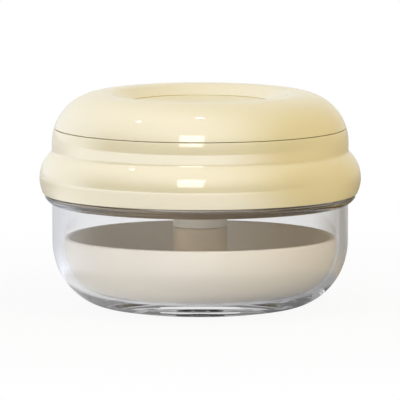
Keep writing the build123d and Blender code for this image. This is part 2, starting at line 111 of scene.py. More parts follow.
# Lid
shell = 2.4 * MM
neck_step = 3.85 * MM
dome_round = 15.5 * MM  # the lid's round top, in section
dome_sink = 4.4 * MM  # the centre of that round, below the seam
rim_show = 0.6 * MM  # between the bowl's rim and the lid's lower edge
bulge_rise = 4.8 * MM  # the widest point, above the lid's lower edge
bulge_round = 10.5 * MM
crease_round = 1.5 * MM
collar_lip = 2.0 * MM
seam_height = 56.0 * MM
recess_edge = 3.4 * MM  # the recess's edge, in from the crest
recess_width = 5.0 * MM
recess_depth = 2.9 * MM
recess_round = 1.5 * MM
tube_wall = 1.6 * MM
tube_bottom = 54.3 * MM
web = 2.0 * MM
web_height = 53.2 * MM
web_radius = 27.55 * MM
tower_radius = 3.0 * MM
boss_radius = 3.2 * MM
boss_circle = 30.05 * MM
lip_height = 0.7 * MM

# Inner lid and seal
flange_step = 0.5 * MM
flange = 1.2 * MM
plate = 2.0 * MM
plug_depth = 2.9 * MM
bead_play = 0.4 * MM
bead_height = 0.9 * MM
plug_play = 1.35 * MM
plug_wall = 1.65 * MM
seal_flange = 0.8 * MM
seal_play = 0.25 * MM
seal_step = 0.2 * MM
sleeve_radius = 7.95 * MM
boss_wall = 2.5 * MM
boss_drop = 1.8 * MM

# Hub collar
collar_inside = 6.05 * MM

# Button
button_play = 0.2 * MM
button_set = 0.2 * MM
button_bottom = 54.0 * MM
dish_depth = 0.9 * MM
cap_wall = 1.7 * MM
cap_thickness = 2.0 * MM
cap_boss_radius = 2.6 * MM
cap_screw_circle = 13.0 * MM
disc_top = 59.5 * MM
cap_skin = 0.6 * MM
cap_screws = 3

# Return spring
spring_radius = 7.0 * MM
wire = 0.8 * MM
spring_turns = 5
spring_low = 44.1 * MM
spring_high = 57.5 * MM

# Screws
screws = 4
screw_radius = 1.25 * MM
screw_head = 2.6 * MM
lid_screw_length = 9.0 * MM
cover_pilot_top = 61.2 * MM
cap_pilot_top = 62.1 * MM

# Rounded edges and fillets
foot_corner = 0.15 * MM
foot_edge = 0.25 * MM
rim_edge = 0.25 * MM
rim_inner_edge = 0.6 * MM
spigot_fillet = 0.3 * MM
spigot_round = 1.4 * MM
hub_boss_edge = 0.3 * MM
post_foot_edge = 0.5 * MM
post_fillet = 1.2 * MM
post_edge = 0.4 * MM
ring_low_edge = 0.25 * MM
ring_high_edge = 0.4 * MM
plug_edge = 0.3 * MM
plug_fillet = 0.6 * MM
boss_fillet = 0.4 * MM
boss_edge = 0.5 * MM
seal_lip_edge = 0.3 * MM
seal_edge = 0.2 * MM
lid_low_edge = 0.35 * MM
seam_edge = 0.2 * MM
bore_edge = 0.12 * MM
tube_edge = 0.2 * MM
button_edge = 0.15 * MM
skirt_edge = 0.2 * MM

# Extra rings of points that keep flat stretches smooth
bowl_floor_ring = 15.0 * MM
bowl_wall_rings = (3.0 * MM, 8.0 * MM)  # below the rim
tray_floor_ring = 6.0 * MM  # inside the tray's corner
bore_ring = 2.0 * MM  # below the recess

# Solids that are joined or cut away
past = 1.0 * MM  # how far a cut reaches beyond what it cuts
tower_short = 0.5 * MM  # how far the towers end below the web's top
boss_sink = 0.4 * MM  # how far the bosses reach into the roof

# Radii that follow from the sizes above
rim_radius = bulge_radius - rim_step
wall_radius = rim_radius - flare_reach
neck_radius = bulge_radius - neck_step
crest_radius = neck_radius - dome_round  # and the centre of the round
bowl_inside = wall_radius - bowl_wall
corner_radius = wall_radius - corner_width
inner_corner_radius = bowl_inside - inner_corner_width
foot_radius = corner_radius - foot_step
bush_radius = spigot_radius + running + bush_wall
post_foot_radius = post_radius + post_foot_reach
flange_radius = wall_radius - flange_step
seal_flange_radius = flange_radius - seal_step
seal_lip_radius = bowl_inside - seal_play
bead_radius = bowl_inside - bead_play
plug_radius = bowl_inside - plug_play
collar_lip_radius = flange_radius + seam_gap
tower_circle = plug_radius - plug_wall - 2 * seat_gap - screw_head
recess_radius = crest_radius - recess_edge
bore_radius = recess_radius - recess_width
button_radius = bore_radius - button_play

# Levels that follow from the sizes above
floor_height = foot_height + bowl_base
corner_top = foot_height + corner_height
tray_floor = floor_height + basket_gap + basket_wall
basket_height = corner_top + basket_rise
bush_top = floor_height + spigot_height + running + bush_cap
hub_boss_top = bush_top + running + hub_boss_roof
post_top = basket_height + post_rise
socket_bottom = post_top - drive_reach - 2 * seat_gap
collar_low = post_top + running
plug_bottom = rim_height - plug_depth
lid_flange_bottom = rim_height + seal_flange
lid_flange_top = lid_flange_bottom + flange
plate_bottom = lid_flange_top - plate
boss_bottom = plate_bottom - boss_drop
collar_bottom = rim_height + rim_show
bulge_height = collar_bottom + bulge_rise
web_top = web_height + web
cover_bottom = seam_height + seam_gap
dome_level = seam_height - dome_sink
crest_height = dome_level + dome_round
recess_bottom = crest_height - recess_depth
button_top = recess_bottom - button_set

screw_hole = screw_radius + hole_play
screw_pilot = screw_radius + pilot_play

# Light: watts of the lamps and their colours, the world's strength, and the floor's share of shadow
KEY = 0.98
LOW = 0.9
PANEL = 0.75
TOP = 1.7
FILL = 2.15
CATCH = 0.05
WHITE = (1.0, 1.0, 1.0)
WARM = (1.0, 0.885, 0.69)
WORLD = 0.36
SHADOW_SHARE = 0.08

# Surroundings that gloss shows: bright at the front left, light grey behind, warmer and dimmer at the right
BRIGHT_WAY = (-0.84, -0.52, 0.15)
BRIGHT = (2.12, 2.22, 2.58)
BACK = (0.9, 0.9, 0.9)
RIGHT = (0.7, 0.48, 0.18)
BRIGHT_SPAN = (-0.7, 0.5)  # cosine from the bright way, from none of it to all of it
RIGHT_SPAN = (0.1, 0.9)  # how far to the right, from none of that colour to all of it
LOW_SPAN = (0.1, 0.8)  # how far up, from the dim low sky to the full one
FRONT_SPAN = (-0.3, 0.3)  # how far back, from the front with its dim low sky to the rest
LOW_LOSS = -0.55  # what the low sky in front loses of its strength

# Floor: a painted shadow near the object, in greys that the clear bowl shows on its left and right
LEFT_SHADOW_GREY = 0.8
RIGHT_SHADOW_GREY = 0.3
PALE = 0.87  # and further out

# Spans on the floor in metres, from the axis outwards unless said otherwise
SHADOW_SPAN = (0.06, 0.25)  # the shadow fades
SIDES_SPAN = (-0.03, 0.06)  # across, from the left's grey to the right's
PALE_SPAN = (0.09, 0.17)  # the grey goes over to pale in glass
MIRROR_SPAN = (0.055, 0.072)  # the grey goes over to the surroundings in gloss
FOOT_SPAN = (0.03, 0.045)  # gloss sees a painted shadow, darker under the foot
LOSS_SPAN = (0.32, 0.56)  # gloss sees it dimmer behind, less so far out
BOOST_SPAN = (0.36, 0.46)  # gloss sees it brighter far out
BEHIND_SPAN = (0.12, 0.8)  # cosine from the way straight back
FOOT_SHADOW_SHARE = 0.3  # what is left of the strength in the painted shadow under the foot
NEAR_LOSS = -0.66  # what the strength loses behind
FAR_LOSS = -0.45  # and far out behind
BOOST = 1.25  # the strength far out on all sides

# Cards that only the clear bowl shows, at one distance; the soft ones fade in over two spans
LEFT_FLOOR_CARD = (0.69, 0.69, 0.69)
RIGHT_FLOOR_CARD = (0.42, 0.42, 0.41)
LEFT_CARD = (0.42, 0.42, 0.42)
RIGHT_CARD = (0.22, 0.22, 0.215)
CARD_REACH = 0.6
ASIDE_SPAN = (0.04, 0.07)  # metres to the side of the axis
SLANT_SPAN = (0.13, 0.55)  # metres to the side for each metre forth or back

BOUNCES = 24  # light runs along the bowl's thick base
SEGMENTS = 192  # round the axis
FINE = 7  # points on a small rounded corner
CORNER_SHARE = 0.49  # the most of a side that its rounded corner takes
ON_AXIS = 0.0001 * MM  # nearer to the axis than this, a ring is a single point
SHARP = 40  # degrees, from which an edge isn't shaded smooth
WIDE_SPAN = (0.1, 0.9)  # nearly all of a noise
MIDDLE_SPAN = (0.3, 0.7)  # the middle of a noise, for clearer patches


def arc(centre, width, height, start, end, steps=24):
    """Points on a stretch of an upright ellipse, between two angles in degrees."""
    points = []
    for n in range(steps + 1):
        angle = math.radians(start + (end - start) * n / steps)
        points.append((centre[0] + width * math.cos(angle), centre[1] + height * math.sin(angle)))
    return points


def softened(points):
    """An outline with its rounded corners: a point of three values has a radius as its third."""
    result = []
    count = len(points)
    for n, point in enumerate(points):
        if len(point) == 2:
            result.append(Vector(point))
            continue
        here = Vector(point[:2])
        before = Vector(points[n - 1][:2]) - here
        after = Vector(points[(n + 1) % count][:2]) - here
        half = before.angle(after) / 2
        shorter = min(before.length, after.length)
        reach = min(point[2] / math.tan(half), CORNER_SHARE * shorter)
        radius = reach * math.tan(half)
        middle = here + (before.normalized() + after.normalized()).normalized() * radius / math.sin(half)
        first = here + before.normalized() * reach - middle
        last = here + after.normalized() * reach - middle
        turn = first.angle_signed(last)
        for step in range(FINE + 1):
            rotated = first.copy()
            rotated.rotate(Matrix.Rotation(-turn * step / FINE, 2))
            result.append(middle + rotated)
    return result


def new_piece(name, mesh_data):
    """A bmesh as an object of the scene."""
    bmesh.ops.recalc_face_normals(mesh_data, faces=mesh_data.faces)
    mesh = bpy.data.meshes.new(name)
    mesh_data.to_mesh(mesh)
    mesh_data.free()
    piece = bpy.data.objects.new(name, mesh)
    bpy.context.scene.collection.objects.link(piece)
    return piece


def lathe(name, points):
    """A closed outline of (radius, height) turned about Z, with single points on the axis."""
    outline = softened(points)
    data = bmesh.new()
    rings = []
    for radius, height in outline:
        if radius < ON_AXIS:
            rings.append([data.verts.new((0, 0, height))])
            continue
        ring = []
        for n in range(SEGMENTS):
            angle = 2 * math.pi * n / SEGMENTS
            ring.append(data.verts.new((radius * math.cos(angle), radius * math.sin(angle), height)))
        rings.append(ring)
    for low, high in zip(rings, rings[1:] + rings[:1]):
        if len(low) == 1 and len(high) == 1:
            continue
        for n in range(SEGMENTS):
            m = (n + 1) % SEGMENTS
            corners = [low[n % len(low)], low[m % len(low)], high[m % len(high)], high[n % len(high)]]
            face = []
            for corner in corners:
                if corner not in face:
                    face.append(corner)
            data.faces.new(face)
    return new_piece(name, data)


def prisms(name, places, radius, low, high, sides=48, turn=0.0):
    """Upright prisms at places (x, y), as one mesh, to add or to cut away."""
    data = bmesh.new()
    for x, y in places:
        loops = []
        for height in (low, high):
            loop = []
            for n in range(sides):
                angle = 2 * math.pi * n / sides + turn
                point = (x + radius * math.cos(angle), y + radius * math.sin(angle), height)
                loop.append(data.verts.new(point))
            loops.append(loop)
        data.faces.new(loops[0][::-1])
        data.faces.new(loops[1])
        for n in range(sides):
            m = (n + 1) % sides
            data.faces.new((loops[0][n], loops[0][m], loops[1][m], loops[1][n]))
    return new_piece(name, data)


def circle_places(count, radius, first=0.0):
    """Points (x, y) evenly round a circle, the first at an angle in degrees."""
    angles = [math.radians(first + 360 * n / count) for n in range(count)]
    return [(radius * math.cos(a), radius * math.sin(a)) for a in angles]


def combined(piece, tool, operation):
    """Adds a tool's solids to a piece, or cuts them away, and drops the tool."""
    modifier = piece.modifiers.new("combine", "BOOLEAN")
    modifier.operation = operation
    modifier.solver = "EXACT"
    modifier.object = tool
    graph = bpy.context.evaluated_depsgraph_get()
    mesh = bpy.data.meshes.new_from_object(piece.evaluated_get(graph))
    piece.modifiers.clear()
    piece.data = mesh
    bpy.data.objects.remove(tool)
    return piece


def finished(piece, material, body, slot, *nodes):
    """Smooth shading with real edges kept, a material, a body, and the nodes that it stands for."""
    for polygon in piece.data.polygons:
        polygon.use_smooth = True
    piece.data.set_sharp_from_angle(angle=math.radians(SHARP))
    weighted = piece.modifiers.new("even_normals", "WEIGHTED_NORMAL")
    weighted.keep_sharp = True
    piece.data.materials.clear()
    piece.data.materials.append(material)
    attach(piece, body)
    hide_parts(*nodes)
    return piece


def srgb(red, green, blue):
    """A colour given in the 0 to 255 of a screen, as linear light."""
    linear = []
    for value in (red, green, blue):
        value /= 255
        linear.append(value / 12.92 if value <= 0.04045 else ((value + 0.055) / 1.055) ** 2.4)
    return (*linear, 1.0)


class Finish:
    """A node material under construction, with its Principled shader."""

    def __init__(self, name):
        self.material = bpy.data.materials.new(name)
        self.material.use_nodes = True
        self.tree = self.material.node_tree
        self.shader = self.tree.nodes["Principled BSDF"]
        self.output = self.tree.nodes["Material Output"]
        self.place = self.add("ShaderNodeTexCoord").outputs["Object"]

    def add(self, kind, **settings):
        node = self.tree.nodes.new(kind)
        for key, value in settings.items():
            setattr(node, key, value)
        return node

    def join(self, start, end):
        self.tree.links.new(start, end)

    def put(self, **sockets):
        """Sets sockets of the shader, with underscores for the spaces in their names."""
        for key, value in sockets.items():
            self.shader.inputs[key.replace("_", " ")].default_value = value

    def noise(self, scale, detail=2.0):
        """A noise of so many waves a metre."""
        node = self.add("ShaderNodeTexNoise")
        node.inputs["Scale"].default_value = scale
        node.inputs["Detail"].default_value = detail
        self.join(self.place, node.inputs["Vector"])
        return node.outputs["Fac"]

    def mottled(self, first, second, scale):
        """The base colour as a slow drift between two near colours."""
        ramp = self.add("ShaderNodeValToRGB")
        for stop, place, colour in zip(ramp.color_ramp.elements, WIDE_SPAN, (first, second)):
            stop.position = place
            stop.color = colour
        self.join(self.noise(scale), ramp.inputs["Fac"])
        self.join(ramp.outputs["Color"], self.shader.inputs["Base Color"])

    def uneven(self, noise, low, high, span):
        """The roughness in patches between two values, over a span of a noise."""
        node = self.add("ShaderNodeMapRange")
        for name, value in zip(("From Min", "From Max", "To Min", "To Max"), (*span, low, high)):
            node.inputs[name].default_value = value
        self.join(noise, node.inputs["Value"])
        self.join(node.outputs["Result"], self.shader.inputs["Roughness"])

    def bumped(self, noise, strength, height):
        """A skin or grain, so many metres high."""
        node = self.add("ShaderNodeBump")
        node.inputs["Strength"].default_value = strength
        node.inputs["Distance"].default_value = height
        self.join(noise, node.inputs["Height"])
        self.join(node.outputs["Normal"], self.shader.inputs["Normal"])


def moulded(name, first, second, roughness, spread, grain, height, **sockets):
    """Moulded plastic: slow colour drift, uneven gloss, and a skin of a grain and height."""
    drift = 18
    patches = 45
    strength = 0.25
    finish = Finish(name)
    finish.mottled(srgb(*first), srgb(*second), drift)
    finish.uneven(finish.noise(patches, detail=3), roughness - spread, roughness + spread, WIDE_SPAN)
    finish.bumped(finish.noise(grain, detail=4), strength, height)
    finish.put(**sockets)
    return finish.material


def clear_plastic():
    """The clear bowl: real refraction through a thick wall, and lamps shine through it."""
    finish = Finish("clear_plastic")
    finish.put(
        IOR=1.46,
        Transmission_Weight=1.0,
        Specular_Tint=(0.75, 0.72, 0.62, 1.0),
    )
    height = finish.add("ShaderNodeSeparateXYZ")
    finish.join(finish.place, height.inputs["Vector"])
    base_span = (2 * MM, 9 * MM)
    base_tint = (0.8, 0.8, 0.81)
    wall_tint = (0.955, 0.955, 0.96)
    upper = stepped(finish.tree, height.outputs["Z"], base_span)
    finish.join(blended(finish.tree, upper, base_tint, wall_tint), finish.shader.inputs["Base Color"])
    patches = 60
    dullest = 0.02
    finish.uneven(finish.noise(patches, detail=3), 0.0, dullest, MIDDLE_SPAN)
    path = finish.add("ShaderNodeLightPath")
    pass_lamps = finish.add("ShaderNodeBsdfTransparent")
    pass_lamps.inputs["Color"].default_value = (*WHITE, 1.0)
    mix = finish.add("ShaderNodeMixShader")
    finish.join(path.outputs["Is Shadow Ray"], mix.inputs["Fac"])
    finish.join(finish.shader.outputs["BSDF"], mix.inputs[1])
    finish.join(pass_lamps.outputs["BSDF"], mix.inputs[2])
    finish.join(mix.outputs["Shader"], finish.output.inputs["Surface"])
    return finish.material


def drawn_metal(name, colour, roughness):
    """Stainless steel with a fine drawn grain."""
    drift = 150
    patches = 300
    grain = 1400
    strength = 0.15
    height = 0.04 * MM
    shade = 0.85
    glossier = 0.06
    duller = 0.08
    finish = Finish(name)
    darker = [shade * value for value in colour]
    finish.mottled((*darker, 1.0), (*colour, 1.0), drift)
    spots = finish.noise(patches, detail=4)
    finish.uneven(spots, roughness - glossier, roughness + duller, MIDDLE_SPAN)
    finish.bumped(finish.noise(grain, detail=3), strength, height)
    finish.put(Metallic=1.0)
    return finish.material


def make_materials():
    """Every material by the record's slot, or by the node, that it belongs to."""
    return {
        "clear_bowl": clear_plastic(),
        "lid_shell": moulded(
            "glossy_lid", (230, 216, 167), (233, 220, 173),
            roughness=0.32, spread=0.03, grain=130, height=0.03 * MM,
            Specular_IOR_Level=0.2, Coat_Weight=0.45, Coat_Roughness=0.04, Coat_IOR=3.0,
            Subsurface_Weight=0.06, Subsurface_Scale=4 * MM,
        ),
        "basket": moulded(
            "satin_tray", (250, 243, 229), (247, 239, 224),
            roughness=0.42, spread=0.04, grain=900, height=0.02 * MM,
        ),
        # Painted shade: the post is browner and darker than the tray's plastic, for the shade that falls on
        # it inside the tray
        "basket_post": moulded(
            "post_painted_shade", (236, 216, 184), (231, 211, 178),
            roughness=0.42, spread=0.04, grain=900, height=0.02 * MM,
        ),
        "inner_plastic": moulded(
            "satin_inner", (233, 221, 198), (228, 216, 192),
            roughness=0.38, spread=0.04, grain=900, height=0.02 * MM,
        ),
        # Painted shade: the seal is dark brown, for the shade in the band under the lid's lower edge, seen
        # through the bowl's rim
        "seal": moulded(
            "seal_painted_shade", (148, 125, 92), (141, 118, 86),
            roughness=0.5, spread=0.05, grain=700, height=0.04 * MM,
        ),
        "bearing": moulded(
            "bearing_plastic", (240, 238, 230), (234, 232, 224),
            roughness=0.4, spread=0.05, grain=800, height=0.03 * MM,
        ),
        "drive": moulded(
            "drive_plastic", (226, 216, 198), (220, 210, 192),
            roughness=0.4, spread=0.05, grain=800, height=0.03 * MM,
        ),
        # Painted light: the collar is nearly white, for the light that falls on the top of the post under the
        # lid
        "collar": moulded(
            "collar_painted_light", (255, 250, 234), (253, 247, 230),
            roughness=0.36, spread=0.04, grain=800, height=0.02 * MM,
        ),
        "rod": drawn_metal("rod_steel", (0.62, 0.62, 0.62), roughness=0.3),
        "screws": drawn_metal("screw_steel", (0.6, 0.6, 0.61), roughness=0.25),
        "spring": drawn_metal("spring_steel", (0.58, 0.58, 0.6), roughness=0.28),
    }


def bowl():
    """The clear bowl, with its foot ring, flared rim and spigot."""
    flare_low = rim_height - flare_height
    rise = flare_height - rim_land
    lean = math.atan2(rim_radius - wall_radius, rise)
    flare = []
    flare_steps = 10
    for n in range(flare_steps + 1):
        share = n / flare_steps
        bow = 4 * flare_sag * share * (1 - share)  # a slight sag, deepest halfway
        flare.append((
            wall_radius + (rim_radius - wall_radius) * share + bow * math.cos(lean),
            flare_low + rise * share - bow * math.sin(lean),
        ))
    corner = (corner_radius, corner_top)
    inner_corner = (inner_corner_radius, corner_top)
    wall_steps = 4
    wall_rise = flare_low - corner_top
    wall = [(wall_radius, corner_top + wall_rise * n / wall_steps) for n in range(1, wall_steps)]
    outline = [
        (0, foot_height),
        (foot_radius - foot_width, foot_height, foot_corner),
        (foot_radius - foot_width, 0, foot_edge),
        (foot_radius, 0, foot_edge),
        (foot_radius, foot_height, foot_corner),
        *arc(corner, corner_width, corner_height, 272, 360, steps=40),  # from just beside the foot ring
        *wall,
        *flare,
        (rim_radius, rim_height, rim_edge),
        (bowl_inside, rim_height, rim_inner_edge),
        *[(bowl_inside, rim_height - depth) for depth in bowl_wall_rings],
        *arc(inner_corner, inner_corner_width, corner_top - floor_height, 360, 270, steps=40),
        (bowl_floor_ring, floor_height),
        (spigot_radius, floor_height, spigot_fillet),
        (spigot_radius, floor_height + spigot_height, spigot_round),
        (0, floor_height + spigot_height),
    ]
    return lathe("bowl_shell", outline)


def tray():
    """The tray, with its rounded rim, drain holes and the boss over the bush."""
    width = inner_corner_width - basket_side_gap
    radius = bowl_inside - basket_side_gap
    low = floor_height + basket_gap
    height = corner_top - low
    corner = (inner_corner_radius, corner_top)
    rim = 0.45 * basket_wall  # nearly a half round
    flat_radius = inner_corner_radius - tray_floor_ring
    hub_boss_radius = bush_radius + running + hub_boss_wall
    flange_space = bush_radius + bush_flange_reach + seat_gap
    flange_space_top = floor_height + bush_flange + running
    outline = [
        (flange_space, low),
        (flat_radius, low),
        *arc(corner, width, height, 270, 360, steps=40),
        (radius, basket_height, rim),
        (radius - basket_wall, basket_height, rim),
        *arc(corner, width - basket_wall, height - basket_wall, 360, 270, steps=40),
        (flat_radius, tray_floor),
        (hub_boss_radius, tray_floor),
        (hub_boss_radius, hub_boss_top, hub_boss_edge),
        (0, hub_boss_top),
        (0, bush_top + running),
        (bush_radius + running, bush_top + running),
        (bush_radius + running, flange_space_top),
        (flange_space, flange_space_top),
    ]
    piece = lathe("tray_shell", outline)
    places = []
    ring_radius = post_foot_radius + drain_edge
    while ring_radius + drain_edge <= inner_corner_radius:
        places += circle_places(round(2 * math.pi * ring_radius / drain_pitch), ring_radius)
        ring_radius += drain_step
    holes = prisms("drain_cut", places, drain_radius, low - past, tray_floor + past, sides=32)
    return combined(piece, holes, "DIFFERENCE")


def post():
    """The post, with its flared foot and its six-sided socket."""
    top_of_hollow = hub_boss_top + seat_gap
    post_hollow = bush_radius + running + hub_boss_wall + pilot_play
    outline = [
        (0, top_of_hollow),
        (post_hollow, top_of_hollow),
        (post_hollow, tray_floor),
        (post_foot_radius, tray_floor),
        (post_foot_radius, tray_floor + post_foot, post_foot_edge),
        (post_radius, tray_floor + post_foot, post_fillet),
        (post_radius, post_top, post_edge),
        (0, post_top),
    ]
    piece = lathe("post_shell", outline)
    half_side = math.pi / 6  # half the angle that one of the six sides takes up
    corner_reach = socket_flats / 2 / math.cos(half_side)
    socket = prisms(
        "socket_cut", [(0, 0)], corner_reach, socket_bottom, post_top + past, sides=6, turn=half_side,
    )
    return combined(piece, socket, "DIFFERENCE")


def hub_collar():
    """The ring over the post, whose near-white colour paints the light that falls on the top of the post."""
    collar_high = boss_bottom - seat_gap
    outline = [
        (collar_inside, collar_low),
        (post_radius, collar_low, ring_low_edge),
        (post_radius, collar_high, ring_high_edge),
        (collar_inside, collar_high),
    ]
    return lathe("collar_ring", outline)


def inner_lid():
    """The plate and plug that close the lid from below."""
    bead_top = plug_bottom + bead_height
    boss_outside = sleeve_radius + boss_wall
    outline = [
        (sleeve_radius, lid_flange_top),
        (flange_radius, lid_flange_top),
        (flange_radius, lid_flange_bottom),
        (plug_radius, lid_flange_bottom),
        (plug_radius, bead_top),
        (bead_radius, bead_top, plug_edge),
        (bead_radius, plug_bottom, plug_edge),
        (plug_radius - plug_wall, plug_bottom, plug_edge),
        (plug_radius - plug_wall, plate_bottom, plug_fillet),
        (boss_outside, plate_bottom, boss_fillet),
        (boss_outside, boss_bottom, boss_edge),
        (sleeve_radius, boss_bottom),
    ]
    piece = lathe("inner_lid_plate", outline)
    places = circle_places(screws, tower_circle, first=180 / screws)
    holes = prisms("lid_screw_cut", places, screw_hole, plate_bottom - past, lid_flange_top + past)
    return combined(piece, holes, "DIFFERENCE")


def lid_seal():
    """The soft ring between plug and bowl."""
    inside = plug_radius + pilot_play
    low = plug_bottom + bead_height + pilot_play
    outline = [
        (inside, low),
        (seal_lip_radius, low, seal_lip_edge),
        (seal_lip_radius, rim_height, seal_edge),
        (seal_flange_radius, rim_height, seal_edge),
        (seal_flange_radius, lid_flange_bottom, seal_edge),
        (inside, lid_flange_bottom),
    ]
    return lathe("seal_ring", outline)


def lid_collar():
    """The lower lid shell, with its bulge, crease and neck."""
    centre = (bulge_radius - bulge_round, bulge_height)
    inner_round = bulge_round - shell
    neck_inside = neck_radius - shell
    lip_top = collar_bottom + collar_lip
    low_angle = -math.degrees(math.asin((bulge_height - collar_bottom) / bulge_round))
    inner_top = math.degrees(math.acos((neck_inside - centre[0]) / inner_round))
    inner_low = -math.degrees(math.asin((bulge_height - lip_top) / inner_round))
    crease_reach = neck_radius + crease_round - centre[0]
    top_angle = math.degrees(math.acos(crease_reach / (bulge_round + crease_round)))
    crease_level = bulge_height + math.sqrt((bulge_round + crease_round) ** 2 - crease_reach**2)
    crease_centre = (neck_radius + crease_round, crease_level)
    bulge = arc(centre, bulge_round, bulge_round, low_angle, top_angle, steps=48)
    crease = arc(crease_centre, crease_round, crease_round, 180 + top_angle, 180, steps=10)
    seam_angle = math.degrees(math.asin(dome_sink / dome_round))
    neck = arc((crest_radius, dome_level), dome_round, dome_round, 0, seam_angle, steps=12)
    hollow = arc(centre, inner_round, inner_round, inner_top, inner_low, steps=32)
    outline = [
        (collar_lip_radius, collar_bottom),
        (*bulge[0], lid_low_edge),
        *bulge[1:],
        *crease[1:],
        *neck[:-1],
        (*neck[-1], seam_edge),
        (neck_inside, seam_height),
        (neck_inside, web_top),
        (web_radius, web_top),
        (web_radius, web_height),
        (neck_inside, web_height),
        *hollow,
        (collar_lip_radius, lip_top),
    ]
    piece = lathe("collar_shell", outline)
    towers = circle_places(screws, tower_circle, first=180 / screws)
    bosses = prisms("tower_bars", towers, tower_radius, lid_flange_top, web_top - tower_short)
    combined(piece, bosses, "UNION")
    pilot_top = lid_flange_top + lid_screw_length
    pilots = prisms("tower_cut", towers, screw_pilot, lid_flange_top - past, pilot_top)
    combined(piece, pilots, "DIFFERENCE")
    places = circle_places(screws, boss_circle)
    through = prisms("web_cut", places, screw_hole, web_height - past, web_top + past)
    return combined(piece, through, "DIFFERENCE")


def top_cover():
    """The upper lid shell, with its round recess and the button's guide tube."""
    middle = (crest_radius, dome_level)
    inner_round = dome_round - shell
    start = math.degrees(math.asin((cover_bottom - dome_level) / dome_round))
    edge = 90 + math.degrees(math.asin(recess_edge / dome_round))
    inner_edge = 90 + math.degrees(math.asin(recess_edge / inner_round))
    lip_top = cover_bottom + lip_height
    inner_start = math.degrees(math.asin((lip_top - dome_level) / inner_round))
    dome = arc(middle, dome_round, dome_round, start, edge, steps=72)
    hollow = arc(middle, inner_round, inner_round, inner_edge, inner_start, steps=40)
    slope = (dome[-1][1] - recess_bottom) / recess_width
    roof = crest_height - shell
    lip_outside = neck_radius - shell - seam_gap
    outline = [
        (lip_outside, cover_bottom),
        (*dome[0], seam_edge),
        *dome[1:-1],
        (*dome[-1], recess_round),
        (bore_radius, recess_bottom, bore_edge),
        (bore_radius, recess_bottom - bore_ring),
        (bore_radius, tube_bottom, tube_edge),
        (bore_radius + tube_wall, tube_bottom, tube_edge),
        (bore_radius + tube_wall, recess_bottom + slope * tube_wall - shell),
        *hollow,
        (lip_outside - shell, lip_top),
        (lip_outside - shell, web_top + seam_gap),
        (lip_outside, web_top + seam_gap),
    ]
    piece = lathe("cover_shell", outline)
    places = circle_places(screws, boss_circle)
    combined(piece, prisms("boss_bars", places, boss_radius, web_top, roof + boss_sink), "UNION")
    pilots = prisms("boss_cut", places, screw_pilot, web_top - past, cover_pilot_top)
    return combined(piece, pilots, "DIFFERENCE")


def button_cap():
    """The dished round button with its skirt."""
    ball = (button_radius**2 + dish_depth**2) / (2 * dish_depth)
    dish_low = button_top - dish_depth
    dish = []
    dish_steps = 20
    for n in range(dish_steps):
        radius = button_radius * n / dish_steps
        dish.append((radius, dish_low + ball - math.sqrt(ball**2 - radius**2)))
    outline = [
        *dish,
        (button_radius, button_top, button_edge),
        (button_radius, button_bottom, skirt_edge),
        (button_radius - cap_wall, button_bottom, skirt_edge),
        (button_radius - cap_wall, button_top - cap_thickness),
        (0, dish_low - cap_thickness),
    ]
    piece = lathe("button_shell", outline)
    places = circle_places(cap_screws, cap_screw_circle, first=90)
    boss_top = dish_low - cap_skin
    combined(piece, prisms("cap_bars", places, cap_boss_radius, disc_top, boss_top), "UNION")
    pilots = prisms("cap_cut", places, screw_pilot, disc_top - past, cap_pilot_top)
    return combined(piece, pilots, "DIFFERENCE")


def spring():
    """The return spring, as one wire."""
    sides = 12
    steps_a_turn = 48
    steps = steps_a_turn * spring_turns
    low = spring_low + wire / 2
    climb = spring_high - spring_low - wire
    data = bmesh.new()
    loops = []
    for n in range(steps + 1):
        share = n / steps
        angle = 2 * math.pi * spring_turns * share
        outward = Vector((math.cos(angle), math.sin(angle), 0))
        centre = outward * spring_radius + Vector((0, 0, low + climb * share))
        loop = []
        for k in range(sides):
            around = 2 * math.pi * k / sides
            point = centre + wire / 2 * (outward * math.cos(around) + Vector((0, 0, math.sin(around))))
            loop.append(data.verts.new(point))
        loops.append(loop)
    for first, second in zip(loops, loops[1:]):
        for k in range(sides):
            m = (k + 1) % sides
            data.faces.new((first[k], first[m], second[m], second[k]))
    data.faces.new(loops[0])
    data.faces.new(loops[-1][::-1])
    return new_piece("spring_wire", data)


def dress(materials):
    """Builds each fine piece and gives each carried node its finish."""
    pieces = (
        (bowl, "bowl", "clear_bowl", "outer_bowl"),
        (tray, "basket", "basket", "basket_tray"),
        (post, "basket", "basket", "basket_post"),
        (hub_collar, "hub", "collar", "hub_collar"),
        (inner_lid, "lid", "inner_plastic", "inner_lid"),
        (lid_seal, "lid", "seal", "lid_seal"),
        (lid_collar, "lid", "lid_shell", "lid_collar"),
        (top_cover, "lid", "lid_shell", "top_cover"),
        (button_cap, "button", "lid_shell", "button_cap"),
        (spring, "lid", "spring", "return_spring"),
    )
    replaced = set()
    for make, body, slot, node in pieces:
        piece = finished(make(), materials.get(node, materials[slot]), body, slot, node)
        replaced.add(node)
        if make is spring:
            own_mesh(piece)
    slots = {entry["node"]: entry["material_slot"] for entry in frame["record"]["subparts"]}
    for node, carried in frame["nodes"].items():
        if node in replaced:
            continue
        carried.data.materials.clear()
        carried.data.materials.append(materials[slots[node]])


def branch(tree, ray, otherwise, chosen):
    """One shader for a kind of ray, and another for the rest."""
    path = tree.nodes.new("ShaderNodeLightPath")
    mix = tree.nodes.new("ShaderNodeMixShader")
    tree.links.new(path.outputs[ray], mix.inputs["Fac"])
    tree.links.new(otherwise, mix.inputs[1])
    tree.links.new(chosen, mix.inputs[2])
    return mix.outputs["Shader"]


def math_node(tree, operation, *values):
    """A sum on sockets or plain numbers."""
    node = tree.nodes.new("ShaderNodeMath")
    node.operation = operation
    for socket, value in zip(node.inputs, values):
        if isinstance(value, (int, float)):
            socket.default_value = value
        else:
            tree.links.new(value, socket)
    return node.outputs[0]


